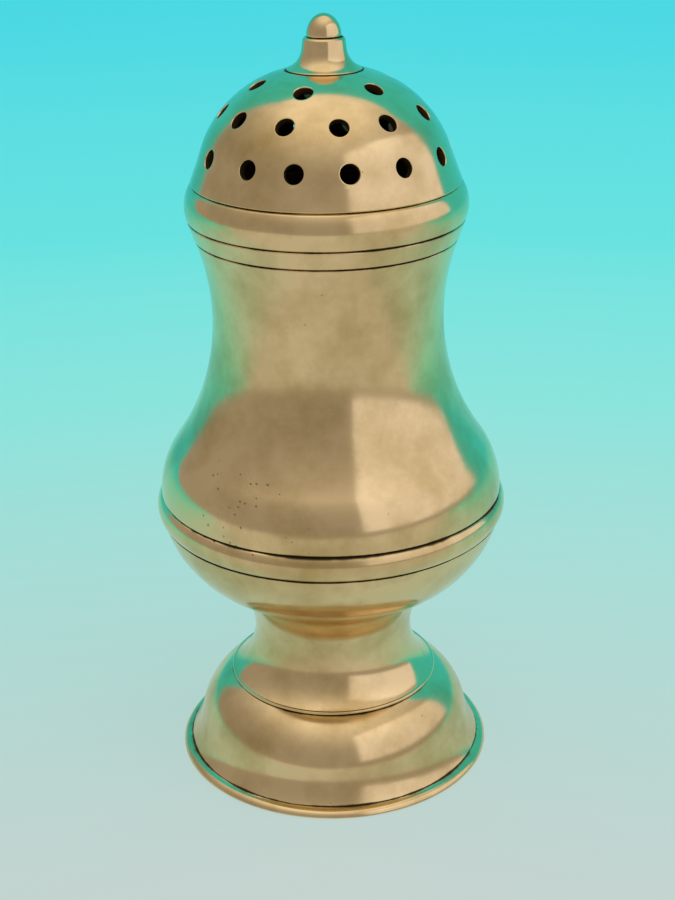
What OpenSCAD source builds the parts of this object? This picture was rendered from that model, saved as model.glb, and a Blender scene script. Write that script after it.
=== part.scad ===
// Sugar caster in turned brass: a baluster body on a domed foot, with a pierced
// domed cover that pulls off for filling. Sizes are in millimetres, +Z is up, and
// the origin lies on the turning axis at table level.

/* [Foot] */
// Diameter over the rim that the caster stands on
foot_d = 55.4; // [52:0.2:60]
// Height of the foot, up to the seat of the stem
foot_h = 14.7; // [13.5:0.1:17]
// Height of the applied rim
foot_rim_h = 1.6; // [1.3:0.1:2.2]
// Diameter of the foot at the stem's seat
foot_top_d = 36; // [34:0.2:38]
// Height at which the hollow of the foot's curve turns to a swell
foot_turn_h = 6.6; // [6:0.2:7.4]
// Wall of the foot
foot_wall = 1.6; // [1.2:0.1:2]

/* [Stem] */
// Height of the stem between foot and bowl
stem_h = 18.2; // [15:0.1:21]
// Least diameter of the stem
waist_d = 27.8; // [26:0.2:30]
// How far the stem's thin lip stands out past the top of the foot
stem_lip_proud = 0.3; // [0:0.1:1]
// Wall of the stem at its waist
stem_wall = 1.8; // [1.4:0.1:3]

/* [Body] */
// Height of the lower bowl
bowl_h = 17.6; // [16:0.2:22]
// Height of the upper body, from the girdle to the mouth ring
body_h = 44.5; // [42:0.5:50]
// Diameter of the body at the girdle joint
belly_d = 58.4; // [56:0.2:62]
// How far the girdle stands out past the body
girdle_proud = 0.8; // [0.4:0.1:2]
// Height of the girdle
girdle_h = 4.4; // [3.8:0.2:5]
// Least diameter of the neck
neck_d = 38.4; // [35:0.2:42]
// Radius of the shoulder above the girdle
shoulder_r = 15; // [12:0.5:18]
// Wall of the bowl and the upper body
body_wall = 1.6; // [1.2:0.1:1.8]

/* [Mouth] */
// Height of the mouth ring that shows below the cover
mouth_h = 3.1; // [2.6:0.1:4]
// How far the mouth's lip flares out past the top of the neck
mouth_flare = 1; // [0.4:0.1:2]
// Width of the mouth's flat seat, from the bore to the lip
mouth_land = 4.7; // [4.5:0.1:5.6]
// Radial play of the bezel in the mouth
slide_gap = 0.1; // [0.06:0.02:0.2]

/* [Cover] */
// How far the cover's rim stands out past the mouth's lip
cover_proud = 0.1; // [0:0.1:0.8]
// Height of the cover's rounded rim
cover_rim_h = 5.7; // [5:0.1:7]
// Radius of the rim's round face
cover_rim_r = 5.8; // [5:0.2:8]
// How far the dome's edge stands in from the cover's seat
dome_step = 0.8; // [0.4:0.1:1.2]
// Height of the dome above the rim
dome_h = 17.6; // [17:0.2:20]
// Wall of the dome
dome_wall = 1.5; // [1.2:0.1:1.8]
// Depth of the bezel below the cover's seat
bezel_depth = 8; // [5:0.5:9]
// Wall of the bezel
bezel_wall = 0.9; // [0.7:0.1:1.2]

/* [Sprinkle holes] */
// Diameter of a drilled hole
hole_d = 3; // [2:0.1:3.4]
// Holes in the lowest row
row_1_count = 14; // [8:1:16]
// Holes in the middle row
row_2_count = 12; // [6:1:14]
// Holes in the top row
row_3_count = 6; // [3:1:8]
// Degrees of the lowest row up the dome's round
row_1_up = 20; // [19:0.5:24]
// Degrees of the middle row up the dome's round
row_2_up = 42; // [38:0.5:45]
// Degrees of the top row up the dome's round
row_3_up = 62.5; // [60:0.5:65]

/* [Finial] */
// Height of the finial above the dome
finial_h = 8.6; // [8.2:0.2:11]
// Diameter of the finial's flange
finial_flange_d = 12; // [11:0.1:12.4]
// Diameter of the knob at its base
knob_d = 5.5; // [5:0.1:6.2]
// Height of the knob
knob_h = 3.4; // [2.8:0.1:4]
// Diameter of the tenon riveted through the dome
tenon_d = 3.2; // [2.6:0.2:4]

/* [Hidden] */
$fn = 128;
arc_steps = 14;
solder_gap = 0.05;
groove = 0.25;

// Levels, from the table to the top of the finial
z_stem = foot_h;
z_bowl = z_stem + stem_h;
z_body = z_bowl + bowl_h;
z_girdle = z_body - girdle_h;
z_mouth = z_body + body_h;
z_seat = z_mouth + mouth_h;
z_dome = z_seat + cover_rim_h;
z_crown = z_dome + dome_h;
z_top = z_crown + finial_h;

// Foot: hollow near the rim, swelling above
foot_rim_w = 1.5;
foot_lap_w = 0.6;
foot_lap_z = 0.3;
foot_draw_in = 2.2;
foot_turn_lean = 12;
foot_edge_r = foot_d / 2 - foot_rim_w;
foot_lap_r = foot_edge_r - foot_lap_w;
foot_turn = [foot_edge_r - foot_draw_in, foot_turn_h];
foot_low = [foot_edge_r, foot_rim_h];
foot_top = [foot_top_d / 2, foot_h];
foot_low_c = arc_centre(foot_turn, foot_turn_lean, foot_low);
foot_high_c = arc_centre(foot_turn, foot_turn_lean, foot_top);

// Stem: a spool whose two curves meet upright at the waist
stem_lip_d = foot_top_d + 2 * stem_lip_proud;
stem_bore_d = waist_d - 2 * stem_wall;
spigot_wall = 2.3;
spigot_r = stem_bore_d / 2 + spigot_wall;
spigot_h = 2;
lip_h = 0.6;
lip_r = lip_h / 2;
lip_c = [stem_lip_d / 2 - lip_r, z_stem + lip_r];
lip_step = 0.1;
waist_h = 8.8;
waist_flare = 4.1;
waist = [waist_d / 2, z_stem + waist_h];
stem_low = lip_c + [-lip_step, lip_r];
stem_high = [waist_d / 2 + waist_flare, z_bowl];
stem_low_c = arc_centre(waist, 0, stem_low);
stem_high_c = arc_centre(waist, 0, stem_high);

// Bowl: one round face from the stem's land to the girdle
bowl_lean = -14;
bowl_land = 0.3;
bowl_foot = [stem_high[0] + bowl_land, z_bowl];
bowl_edge = [belly_d / 2, z_girdle];
bowl_c = arc_centre(bowl_edge, bowl_lean, bowl_foot);
bowl_inner_r = norm(bowl_edge - bowl_c) - body_wall;
bowl_floor = 2.2;
bowl_floor_z = z_bowl + bowl_floor;
collar_r = stem_bore_d / 2 - solder_gap;
collar_wall = 1.8;
girdle_d = belly_d + 2 * girdle_proud;
girdle_seat_w = 0.8;
lap_h = 2.5;
lap_wall = 1.4;
girdle_seat_r = belly_d / 2 - girdle_seat_w;
lap_r = girdle_seat_r - lap_wall;

// Upper body: shoulder and neck arcs that meet without a kink
belly_c = [belly_d / 2 - shoulder_r, z_body];
neck_share = 0.7;
waist_rise = body_h * neck_share;
drop = (belly_d - neck_d) / 2;
neck_r = (drop * drop + waist_rise * waist_rise) / (2 * drop) - shoulder_r;
neck_c = [neck_d / 2 + neck_r, z_body + waist_rise];
body_turn = belly_c + (neck_c - belly_c) * shoulder_r / (shoulder_r + neck_r);
body_top = [neck_c[0] - sqrt(neck_r * neck_r - pow(z_mouth - neck_c[1], 2)), z_mouth];

// Mouth ring and the bezel that slides in it
mouth_lip_d = 2 * (body_top[0] + mouth_flare);
mouth_bore_d = mouth_lip_d - 2 * mouth_land;
mouth_wall = 1;
mouth_spigot_r = mouth_bore_d / 2 + mouth_wall;
mouth_spigot_h = 5;
bezel_r = mouth_bore_d / 2 - slide_gap;
bezel_lip_h = 0.7;
rim_floor_h = 2.5;
cover_seat_d = mouth_lip_d + 2 * cover_proud;

// Dome: a hollow flank that turns into the round crown; its lap bears on the bezel's lip
dome_d = cover_seat_d - 2 * dome_step;
dome_seat_w = 1.3;
dome_lap_h = cover_rim_h - rim_floor_h - bezel_lip_h;
dome_lap_wall = 1.4;
dome_lap_r = dome_d / 2 - dome_seat_w;
dome_bore_r = dome_lap_r - dome_lap_wall;
dome_lean = 18;
flank_h = 4.9;
flank_draw_in = 1.7;
crown_land = 0.05;
crown_r = finial_flange_d / 2 + crown_land;
dome_foot = [dome_d / 2, z_dome + groove];
dome_turn = [dome_d / 2 - flank_draw_in, z_dome + flank_h];
crown = [crown_r, z_crown];
flank_c = arc_centre(dome_turn, dome_lean, dome_foot);
dome_c = arc_centre(dome_turn, dome_lean, crown);
dome_r = norm(dome_turn - dome_c);
dome_inner_turn = dome_turn - dome_wall * [cos(dome_lean), sin(dome_lean)];
crown_under = [on_circle(dome_c, dome_r - dome_wall, z_crown - dome_wall), z_crown - dome_wall];

// Turn of each row from the front, and the drill's wander at the holes seen there
row_1_turn = -65;
row_2_turn = -53;
row_3_turn = -75.5;
row_1_wander = [0, 2.8, -0.4, -1.8, -1.5, 0.5];
row_2_wander = [-1.6, 1, 0.4, -1.2, 3.4];
row_3_wander = [1, -2, -0.5, 1.7];
drill_l = 8;

// Centre of the circle that passes p at a lean (degrees inward from upright) and meets q
function arc_centre(p, lean, q) =
    let (t = [-sin(lean), cos(lean)], d = q - p)
    p + [-t[1], t[0]] * (d * d) / (2 * (t[0] * d[1] - t[1] * d[0]));

// Points about centre c from p's direction to q's, on p's circle grown by a wall
function arc_points(c, p, q, grow = 0) =
    let (a = atan2(p[1] - c[1], p[0] - c[0]))
    let (b = atan2(q[1] - c[1], q[0] - c[0]))
    let (turn = (b - a + 540) % 360 - 180)
    let (r = norm(p - c) + grow)
    [for (i = [0 : arc_steps]) c + r * [cos(a + turn * i / arc_steps), sin(a + turn * i / arc_steps)]];

// Radius from the axis at level z on the outer half of a circle
function on_circle(c, r, z) = c[0] + sqrt(r * r - pow(z - c[1], 2));

module turned(outline) {
    rotate_extrude()
        polygon(outline);
}

// Ring soldered round the foot's lower edge: the face that the caster stands on
module foot_rim() {
    edge = 0.3;
    rim_lean = 15;
    outer = [foot_d / 2, edge];
    inner = [foot_edge_r + groove, foot_rim_h - groove];
    bore = foot_lap_r + solder_gap;
    color("#b5a06a")
        turned(concat(
            [[bore, 0], [foot_d / 2 - edge, 0]],
            arc_points(arc_centre(outer, rim_lean, inner), outer, inner),
            [[foot_edge_r - groove, foot_rim_h], [bore, foot_rim_h]]));
}

// Domed ogee foot, open below, with a bored top for the stem's spigot
module foot() {
    bore = spigot_r + solder_gap;
    inner_low = arc_points(foot_low_c, foot_turn, foot_low, foot_wall);
    inner_high = arc_points(foot_high_c, foot_top, foot_turn, -foot_wall);
    under = inner_high[0][1];
    skirt = inner_low[arc_steps][0];
    color("#bda871")
        turned(concat(
            [[foot_lap_r, foot_lap_z], [foot_lap_r, foot_rim_h]],
            arc_points(foot_low_c, foot_low, foot_turn),
            arc_points(foot_high_c, foot_turn, foot_top),
            [[bore, foot_h], [bore, under]],
            inner_high,
            inner_low,
            [[skirt, foot_lap_z]]));
}

// Spool-shaped stem with a thin rounded lip on the foot, flared under the bowl, and bored straight
module stem() {
    bore = stem_bore_d / 2;
    color("#b8a36c")
        turned(concat(
            [[bore, z_stem - spigot_h], [spigot_r, z_stem - spigot_h], [spigot_r, z_stem]],
            arc_points(lip_c, lip_c - [0, lip_r], lip_c + [lip_r, 0]),
            arc_points(lip_c, lip_c + [lip_r, 0], lip_c + [0, lip_r]),
            arc_points(stem_low_c, stem_low, waist),
            arc_points(stem_high_c, waist, stem_high),
            [[bore, z_bowl]]));
}

// Closed bowl with a collar in the stem's bore and a rebated rim
module lower_bowl() {
    inner_low = [on_circle(bowl_c, bowl_inner_r, bowl_floor_z), bowl_floor_z];
    inner_high = [lap_r, bowl_c[1] - sqrt(pow(bowl_inner_r, 2) - pow(lap_r - bowl_c[0], 2))];
    color("#bda871")
        turned(concat(
            [[0, z_bowl], [collar_r - collar_wall, z_bowl], [collar_r - collar_wall, z_bowl - spigot_h]],
            [[collar_r, z_bowl - spigot_h], [collar_r, z_bowl]],
            arc_points(bowl_c, bowl_foot, bowl_edge),
            [[girdle_seat_r, z_girdle], [girdle_seat_r, z_body], [lap_r, z_body]],
            arc_points(bowl_c, inner_high, inner_low),
            [[0, bowl_floor_z]]));
}

// Rounded band that covers the joint of bowl and upper body
module girdle() {
    low = [belly_d / 2 + groove / 2, z_girdle + groove];
    high = [belly_d / 2 + groove / 2, z_body - groove];
    mid = [girdle_d / 2, (low[1] + high[1]) / 2];
    bulge_c = arc_centre(mid, 0, high);
    bore = girdle_seat_r + solder_gap;
    color("#b5a06a")
        turned(concat(
            [[bore, z_girdle], [belly_d / 2 - groove, z_girdle]],
            arc_points(bulge_c, low, mid),
            arc_points(bulge_c, mid, high),
            [[belly_d / 2 - groove, z_body], [bore, z_body]]));
}

// Shoulder and concave neck, lapped into the bowl's rim
module upper_body() {
    start = belly_c + [shoulder_r, groove];
    inner_start_z = z_body + lap_h;
    inner_start = [on_circle(belly_c, shoulder_r - body_wall, inner_start_z), inner_start_z];
    outer_lap_r = lap_r - solder_gap;
    inner_lap_r = outer_lap_r - lap_wall;
    ledge_z = z_mouth - mouth_spigot_h;
    ledge = [neck_c[0] - sqrt(pow(neck_r + body_wall, 2) - pow(ledge_z - neck_c[1], 2)), ledge_z];
    turn_in = belly_c + (body_turn - belly_c) * (shoulder_r - body_wall) / shoulder_r;
    socket = mouth_spigot_r + solder_gap;
    color("#bda871")
        turned(concat(
            [[outer_lap_r, z_body - lap_h], [outer_lap_r, z_body], [belly_d / 2 - groove, z_body]],
            arc_points(belly_c, start, body_turn),
            arc_points(neck_c, body_turn, body_top - [0, groove]),
            [[body_top[0] - groove, z_mouth], [socket, z_mouth], [socket, ledge_z]],
            arc_points(neck_c, ledge, turn_in),
            arc_points(belly_c, turn_in, inner_start),
            [[inner_lap_r, z_body + lap_h / 2], [inner_lap_r, z_body - lap_h]]));
}

// Lip of the mouth, with the bore in which the bezel slides
module mouth_ring() {
    bore = mouth_bore_d / 2;
    lip = mouth_lip_d / 2;
    color("#b8a36c")
        turned([
            [bore, z_mouth - mouth_spigot_h],
            [mouth_spigot_r, z_mouth - mouth_spigot_h],
            [mouth_spigot_r, z_mouth],
            [body_top[0] - groove, z_mouth],
            [body_top[0] + groove / 2, z_mouth + groove],
            [lip, z_seat - groove],
            [lip - groove, z_seat],
            [bore + groove, z_seat],
            [bore, z_seat - groove]]);
}

// Round-faced rim of the cover, with a floor that rests on the mouth
module cover_rim() {
    bore = bezel_r + solder_gap;
    low = [cover_seat_d / 2, z_seat + groove];
    high = [dome_d / 2 + groove / 2, z_dome - groove];
    chord = high - low;
    lean = asin(norm(chord) / 2 / cover_rim_r) - atan2(chord[0], chord[1]);
    socket = dome_lap_r + solder_gap;
    color("#b5a06a")
        turned(concat(
            [[bore, z_seat], [low[0] - groove, z_seat]],
            arc_points(arc_centre(high, lean, low), low, high),
            [[dome_d / 2 - groove, z_dome], [socket, z_dome]],
            [[socket, z_seat + rim_floor_h], [bore, z_seat + rim_floor_h]]));
}

// Sleeve that hangs from the rim's floor and slides in the mouth
module cover_bezel() {
    inner = bezel_r - bezel_wall;
    lead = bezel_wall / 3;
    floor_z = z_seat + rim_floor_h;
    color("#a8935c")
        turned([
            [inner, z_seat - bezel_depth],
            [bezel_r - lead, z_seat - bezel_depth],
            [bezel_r, z_seat - bezel_depth + 2 * lead],
            [bezel_r, floor_z],
            [dome_lap_r, floor_z],
            [dome_lap_r, floor_z + bezel_lip_h],
            [inner, floor_z + bezel_lip_h]]);
}

// One ring of drilled holes, each along the dome's own normal
module hole_row(count, up, turn, wander) {
    seat = dome_c + dome_r * [cos(up), sin(up)];
    for (i = [0 : count - 1]) {
        drift = i < len(wander) ? wander[i] : 0;
        rotate([0, 0, turn + drift + i * 360 / count - 90])
            translate([seat[0], 0, seat[1]])
                rotate([0, 90 - up, 0])
                    cylinder(d = hole_d, h = drill_l, center = true, $fn = 32);
    }
}

// Pierced dome of the cover
module cover_dome() {
    bore_top = dome_inner_turn[1] - (dome_bore_r - dome_inner_turn[0]) / tan(dome_lean);
    tenon_hole = tenon_d / 2 + solder_gap;
    color("#bda871")
        difference() {
            turned(concat(
                [[dome_bore_r, z_dome - dome_lap_h], [dome_lap_r, z_dome - dome_lap_h]],
                [[dome_lap_r, z_dome], [dome_d / 2 - groove, z_dome]],
                arc_points(flank_c, dome_foot, dome_turn),
                arc_points(dome_c, dome_turn, crown),
                [[tenon_hole, z_crown], [tenon_hole, crown_under[1]]],
                arc_points(dome_c, crown_under, dome_inner_turn),
                [[dome_bore_r, bore_top]]));
            hole_row(row_1_count, row_1_up, row_1_turn, row_1_wander);
            hole_row(row_2_count, row_2_up, row_2_turn, row_2_wander);
            hole_row(row_3_count, row_3_up, row_3_turn, row_3_wander);
        }
}

// Turned finial: flange, flared collar and bullet-shaped knob, riveted inside the dome
module finial() {
    edge = 0.1;
    quirk = 0.2;
    knob_r = knob_d / 2;
    knob_z = z_top - knob_h;
    quarter = 90 / arc_steps;
    collar_w = 0.6;
    collar_h = 1.8;
    collar_edge = 0.3;
    collar_taper = 0.2;
    collar_lean = atan(collar_taper / collar_h);
    stalk_r = knob_r + collar_w;
    stalk_top = knob_z - quirk;
    stalk_foot = stalk_top - collar_h;
    flange_h = 0.25;
    flange_r = finial_flange_d / 2;
    flange_top = z_crown + flange_h;
    head_w = 1.1;
    head_r = tenon_d / 2 + head_w;
    head_h = 0.9;
    head_z = crown_under[1];
    flare_low = [flange_r - edge, flange_top];
    flare_high = [stalk_r + collar_taper, stalk_foot];
    color("#bda871")
        turned(concat(
            [for (i = [0 : arc_steps]) [head_r * sin(quarter * i), head_z - head_h * cos(quarter * i)]],
            [[tenon_d / 2, head_z], [tenon_d / 2, z_crown], [flange_r - edge, z_crown]],
            [[flange_r, z_crown + edge], [flange_r, flange_top - edge]],
            arc_points(arc_centre(flare_high, collar_lean, flare_low), flare_low, flare_high),
            [[stalk_r, stalk_top - collar_edge], [stalk_r - collar_edge, stalk_top]],
            [[knob_r - quirk, stalk_top], [knob_r - quirk, knob_z]],
            [for (i = [0 : arc_steps]) [knob_r * cos(quarter * i), knob_z + knob_h * sin(quarter * i)]]));
}

foot_rim();
foot();
stem();
lower_bowl();
girdle();
upper_body();
mouth_ring();
cover_rim();
cover_bezel();
cover_dome();
finial();
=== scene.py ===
"""Sugar caster in turned brass, dressed for looks over its CAD frame.

Eleven turned pieces take the place of the eleven CAD nodes, which are hidden. Sizes are in metres, +Z is up,
the turning axis is Z and the table is at zero.
"""

import math

import bmesh
import bpy
from mathutils import Matrix, Vector


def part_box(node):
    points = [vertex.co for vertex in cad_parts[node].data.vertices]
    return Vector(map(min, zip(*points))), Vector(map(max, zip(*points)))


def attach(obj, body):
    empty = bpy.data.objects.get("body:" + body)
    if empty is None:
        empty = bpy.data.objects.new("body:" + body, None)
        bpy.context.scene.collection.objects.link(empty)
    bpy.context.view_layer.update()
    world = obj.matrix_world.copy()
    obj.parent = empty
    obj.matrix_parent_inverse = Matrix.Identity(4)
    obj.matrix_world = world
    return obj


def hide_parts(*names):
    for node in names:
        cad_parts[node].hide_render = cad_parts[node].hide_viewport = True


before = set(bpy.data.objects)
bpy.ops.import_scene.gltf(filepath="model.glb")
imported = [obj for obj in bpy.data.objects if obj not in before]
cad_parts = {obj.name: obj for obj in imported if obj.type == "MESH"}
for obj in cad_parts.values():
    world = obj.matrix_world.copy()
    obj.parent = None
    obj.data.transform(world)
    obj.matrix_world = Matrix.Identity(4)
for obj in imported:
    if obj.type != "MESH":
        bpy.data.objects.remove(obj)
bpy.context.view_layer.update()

bl_info = {
    "name": "Sugar caster",
    "version": (1, 0, 0),
    "blender": (4, 5, 0),
    "location": "View3D > Sidebar > Caster",
    "description": "Builds a turned brass sugar caster with a pierced pull-off cover",
    "category": "Object",
}

MM = 0.001
SECTORS = 32  # sectors round a turned piece, a power of two
FACETS = 9  # facets in a sector
JOINT = 0.05 * MM  # solder room round a spigot
WELD = 1e-6  # points closer than this become one


def top(node):
    """Highest level of a CAD node."""
    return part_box(node)[1].z


def reach(node):
    """Greatest radius of a CAD node."""
    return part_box(node)[1].x


Z_RIM = top("foot_rim")
Z_STEM = top("foot")
Z_BOWL = top("stem")
Z_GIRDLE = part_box("girdle")[0].z
Z_BODY = top("girdle")
Z_MOUTH = top("upper_body")
Z_SEAT = top("mouth_ring")
Z_DOME = top("cover_rim")
Z_CROWN = top("cover_dome")
Z_TOP = top("finial")


def length(name, description, default):
    """A size in metres that a user may change."""
    return bpy.props.FloatProperty(
        name=name, description=description, default=default, unit="LENGTH", precision=5
    )


def degrees(name, description, default):
    """An angle that a user may change, given here in degrees."""
    return bpy.props.FloatProperty(
        name=name, description=description, default=math.radians(default), subtype="ANGLE"
    )


def hex_linear(code):
    """Linear colour of an sRGB hex code."""
    shades = [int(code[i : i + 2], 16) / 255 for i in (1, 3, 5)]
    return [s / 12.92 if s <= 0.04045 else ((s + 0.055) / 1.055) ** 2.4 for s in shades]


def colour(name, description, code):
    """A colour that a user may change, given here as an sRGB hex code."""
    return bpy.props.FloatVectorProperty(
        name=name, description=description, default=hex_linear(code), subtype="COLOR", min=0, max=1
    )


class CasterFootSizes(bpy.types.PropertyGroup):
    """Sizes of the foot and its rim."""

    rim_radius: length("Rim radius", "Radius that the caster stands on", reach("foot_rim"))
    rim_width: length("Rim width", "How far the rim stands out past the foot", 1.5 * MM)
    rim_edge: length("Rim edge", "Worn round of the rim's lower edge", 0.3 * MM)
    rim_lean: degrees("Rim lean", "Lean of the rim's face where it starts", 15)
    lap: length("Lap", "Width of the foot's edge inside the rim", 0.6 * MM)
    lap_low: length("Lap level", "Height of the foot's lower edge", 0.3 * MM)
    draw_in: length("Draw in", "How far the hollow of the foot draws in", 2.2 * MM)
    turn_height: length("Turn height", "Height at which hollow turns to swell", 6.6 * MM)
    turn_lean: degrees("Turn lean", "Lean of the curve at its turn", 12)
    top_radius: length("Top radius", "Radius at the stem's seat", 18 * MM)
    wall: length("Wall", "Wall of the foot", 1.6 * MM)


class CasterStemSizes(bpy.types.PropertyGroup):
    """Sizes of the stem."""

    lip_radius: length("Lip radius", "Radius of the rounded lip", reach("stem"))
    lip_height: length("Lip height", "Height of the thin rounded lip", 0.6 * MM)
    lip_step: length("Lip step", "Step from the lip's round to the spool", 0.1 * MM)
    waist_radius: length("Waist radius", "Least radius", 13.9 * MM)
    waist_height: length("Waist height", "Height of the waist above the foot", 8.8 * MM)
    waist_flare: length("Waist flare", "Flare from the waist to the bowl", 4.1 * MM)
    wall: length("Wall", "Wall at the waist", 1.8 * MM)
    spigot_wall: length("Spigot wall", "Wall of the spigot in the foot", 2.3 * MM)
    spigot_height: length("Spigot height", "Depth of the spigots", 2.0 * MM)


class CasterBodySizes(bpy.types.PropertyGroup):
    """Sizes of the bowl, girdle, upper body and mouth."""

    belly_radius: length("Belly radius", "Radius at the girdle joint", reach("lower_bowl"))
    bowl_lean: degrees("Bowl lean", "Lean of the bowl at the girdle", -14)
    bowl_land: length("Bowl land", "Step from the stem to the bowl", 0.3 * MM)
    floor: length("Floor", "Thickness of the bowl's floor", 2.2 * MM)
    collar_wall: length("Collar wall", "Wall of the collar in the stem", 1.8 * MM)
    wall: length("Wall", "Wall of the body", 1.6 * MM)
    girdle_radius: length("Girdle radius", "Radius over the girdle", reach("girdle"))
    girdle_seat: length("Girdle seat", "Depth of the girdle's seat", 0.8 * MM)
    lap_wall: length("Lap wall", "Wall of the lapped rims", 1.4 * MM)
    lap_height: length("Lap height", "Height of the lap", 2.5 * MM)
    shoulder: length("Shoulder", "Radius of the shoulder's round", 15 * MM)
    neck_radius: length("Neck radius", "Least radius of the neck", 19.2 * MM)
    neck_share: bpy.props.FloatProperty(
        name="Neck share", description="Where the neck is narrowest, as a share of the upper body",
        default=0.7, min=0.4, max=0.9, subtype="FACTOR",
    )
    mouth_land: length("Mouth land", "Width of the mouth's seat", 4.7 * MM)
    mouth_wall: length("Mouth wall", "Wall of the mouth's spigot", 1.0 * MM)
    mouth_spigot: length("Mouth spigot", "Depth of the mouth's spigot", 5.0 * MM)
    groove: length("Groove", "Depth of the turned line at a joint", 0.25 * MM)


class CasterCoverSizes(bpy.types.PropertyGroup):
    """Sizes of the cover's rim, bezel and pierced dome."""

    seat_proud: length("Seat proud", "How far the rim stands out past the mouth", 0.1 * MM)
    rim_round: length("Rim round", "Radius of the rim's round face", 5.8 * MM)
    rim_floor: length("Rim floor", "Thickness of the rim's floor", 2.5 * MM)
    play: length("Play", "Play of the bezel in the mouth", 0.1 * MM)
    bezel_wall: length("Bezel wall", "Wall of the bezel", 0.9 * MM)
    bezel_depth: length("Bezel depth", "Depth of the bezel below the seat", 8.0 * MM)
    bezel_lip: length("Bezel lip", "Thickness of the bezel's lip", 0.7 * MM)
    dome_radius: length("Dome radius", "Radius at the dome's edge", reach("cover_dome"))
    dome_seat: length("Dome seat", "Step from the dome's edge to its lap", 1.3 * MM)
    lap_wall: length("Lap wall", "Wall of the dome's lap", 1.4 * MM)
    lean: degrees("Flank lean", "Lean of the flank where it turns to the round", 18)
    flank_height: length("Flank height", "Height of the hollow flank", 4.9 * MM)
    flank_draw_in: length("Flank draw in", "How far the flank draws in", 1.7 * MM)
    dome_wall: length("Dome wall", "Wall of the dome", 1.5 * MM)
    hole_radius: length("Hole radius", "Radius of a drilled hole", 1.5 * MM)
    hole_round: length("Hole round", "Worn round of a hole's edge", 0.18 * MM)
    row_counts: bpy.props.IntVectorProperty(
        name="Row counts", description="Holes in each row, from the lowest", default=(14, 12, 6), min=1
    )
    row_ups: bpy.props.FloatVectorProperty(
        name="Row heights", description="Degrees of each row up the dome's round",
        default=[math.radians(a) for a in (20, 42, 62.5)], subtype="EULER",
    )
    row_turns: bpy.props.FloatVectorProperty(
        name="Row turns", description="Turn of each row from the front",
        default=[math.radians(a) for a in (-65, -53, -75.5)], subtype="EULER",
    )


class CasterFinialSizes(bpy.types.PropertyGroup):
    """Sizes of the finial."""

    flange_radius: length("Flange radius", "Radius of the flange", reach("finial"))
    flange_height: length("Flange height", "Height of the flange", 0.25 * MM)
    flange_edge: length("Flange edge", "Worn edge of the flange", 0.1 * MM)
    collar: length("Collar", "Step from the knob to the collar", 0.6 * MM)
    collar_height: length("Collar height", "Height of the collar", 1.8 * MM)
    collar_edge: length("Collar edge", "Worn upper edge of the collar", 0.3 * MM)
    collar_taper: length("Collar taper", "How far the collar widens downward", 0.2 * MM)
    quirk: length("Quirk", "Narrow groove under the knob", 0.2 * MM)
    knob_radius: length("Knob radius", "Radius of the knob", 2.75 * MM)
    knob_height: length("Knob height", "Height of the knob", 3.4 * MM)
    tenon_radius: length("Tenon radius", "Radius of the tenon through the dome", 1.6 * MM)
    head: length("Rivet head", "How far the rivet head spreads inside", 1.1 * MM)
    head_height: length("Head height", "Height of the rivet head", 0.9 * MM)


class CasterFinish(bpy.types.PropertyGroup):
    """Colours of the brass and the stage."""

    brass: colour("Brass", "Clean polished brass", "#EBCC99")
    tarnish: colour("Tarnish", "Brass that has dulled to olive brown", "#B99A5E")
    # Grime colour, which also paints shade along the girdle's top joint
    grime_and_shade: colour("Grime", "Old polish and dirt in the turned lines", "#33281A")
    inside: colour("Inside", "Unpolished brass inside the caster", "#6E5428")
    floor: colour("Floor", "Pale paper under the caster", "#D6DAD7")
    haze: colour("Haze", "Paper close behind the caster", "#92EEE6")
    drape: colour("Drape", "Paper between the haze and the backdrop", "#70EDEA")
    backdrop: colour("Backdrop", "Paper far behind the caster", "#4AE2F0")


# Drill's wander at the holes of each row, in degrees, from the row's first hole
WANDER = (
    (0, 2.8, -0.4, -1.8, -1.5, 0.5),
    (-1.6, 1, 0.4, -1.2, 3.4),
    (1, -2, -0.5, 1.7),
)


# Outlines: lists of (radius, height) points


def point(radius, height):
    """A point of an outline."""
    return Vector((radius, height))


def arc_centre(start, lean, end):
    """Centre of the circle that passes start at a lean inward from upright and meets end."""
    along = point(-math.sin(lean), math.cos(lean))
    chord = end - start
    across = 2 * (along.x * chord.y - along.y * chord.x)
    return start + point(-along.y, along.x) * chord.length_squared / across


def arc(centre, start, end, grow=0.0, count=28):
    """Points about a centre from start's direction to end's, on start's circle grown by a wall."""
    a = math.atan2(start.y - centre.y, start.x - centre.x)
    b = math.atan2(end.y - centre.y, end.x - centre.x)
    sweep = (b - a + 3 * math.pi) % (2 * math.pi) - math.pi
    radius = (start - centre).length + grow
    angles = [a + sweep * i / count for i in range(count + 1)]
    return [centre + radius * point(math.cos(t), math.sin(t)) for t in angles]


def on_circle(centre, radius, height):
    """Distance from the axis at a level on the outer half of a circle."""
    return centre.x + math.sqrt(radius**2 - (height - centre.y) ** 2)


def soften(outline, width=0.12 * MM, least=math.radians(20)):
    """Rounds an outline's corners, as polishing does, and holds the faces beside them flat."""
    worn = [outline[0]]
    for before, corner, after in zip(outline, outline[1:], outline[2:]):
        come, go = corner - before, after - corner
        if min(come.length, go.length) < 1e-9 or come.angle(go) < least:
            worn.append(corner)
            continue
        cut = min(width, 0.35 * come.length, 0.35 * go.length)
        start, end = corner - come.normalized() * cut, corner + go.normalized() * cut
        worn.append(start.lerp(before, cut / come.length))
        for t in (0, 0.25, 0.5, 0.75, 1):
            worn.append(start.lerp(corner, t).lerp(corner.lerp(end, t), t))
        worn.append(end.lerp(after, cut / go.length))
    worn.append(outline[-1])
    return worn


# Turning


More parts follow.
